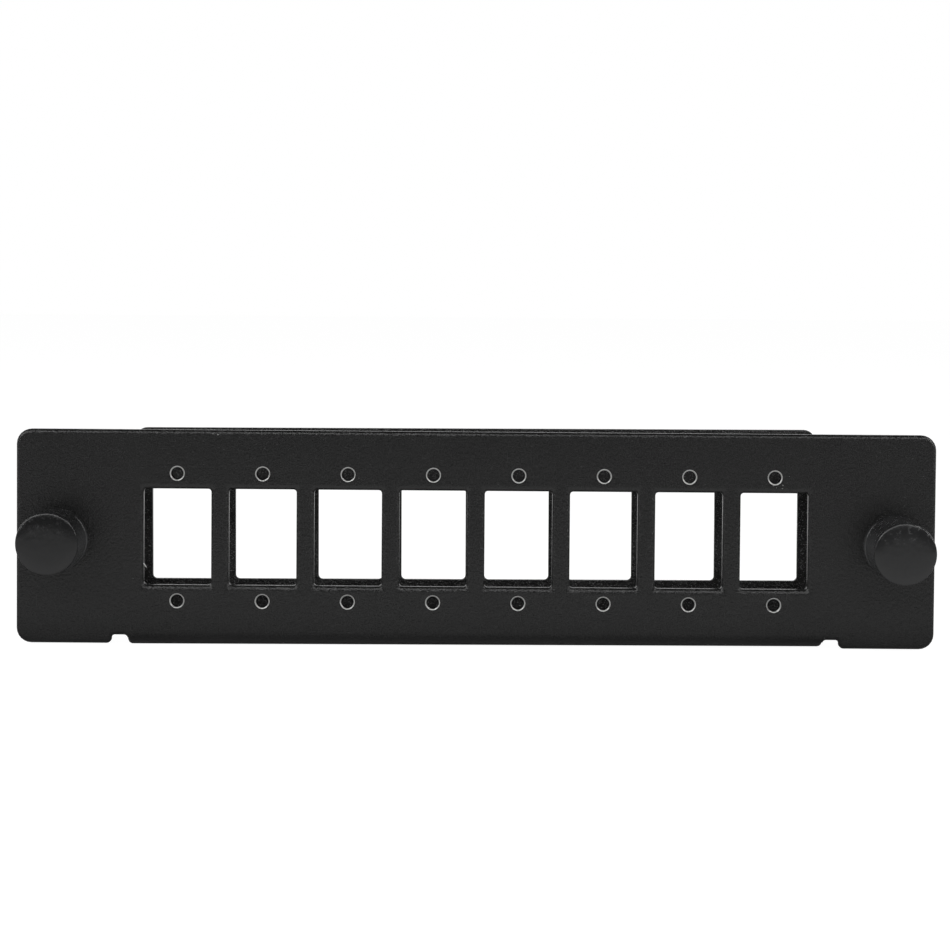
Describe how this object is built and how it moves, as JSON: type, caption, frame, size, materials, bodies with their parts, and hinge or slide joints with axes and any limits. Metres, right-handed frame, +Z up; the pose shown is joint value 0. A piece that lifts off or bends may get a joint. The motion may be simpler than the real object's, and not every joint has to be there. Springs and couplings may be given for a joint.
{
  "type": "fibre adapter plate",
  "caption": "Folded steel plate with a row of adapter openings in both walls, tapped screw holes and push-pull plungers in its end tabs.",
  "frame": {"origin": "centre of the front plate's front face, between the fourth and fifth openings", "axes": "+X to the right along the row of openings, +Y from the front face to the back, +Z up"},
  "size_m": [0.1292, 0.0193, 0.0306],
  "materials": {
    "powder_coat": "fine textured black powder coat, satin",
    "black_nylon": "moulded black nylon, semi-matt"
  },
  "bodies": {
    "panel": {"adapter_plate": "powder_coat", "left_grommet": "black_nylon", "right_grommet": "black_nylon"},
    "left_latch": {"left_plunger": "black_nylon"},
    "right_latch": {"right_plunger": "black_nylon"}
  },
  "joints": [
    {"name": "left_pull", "type": "slide", "parent": "panel", "child": "left_latch", "axis": [0, -1, 0], "range_m": [0, 0.0042]},
    {"name": "right_pull", "type": "slide", "parent": "panel", "child": "right_latch", "axis": [0, -1, 0], "range_m": [0, 0.0042]}
  ]
}
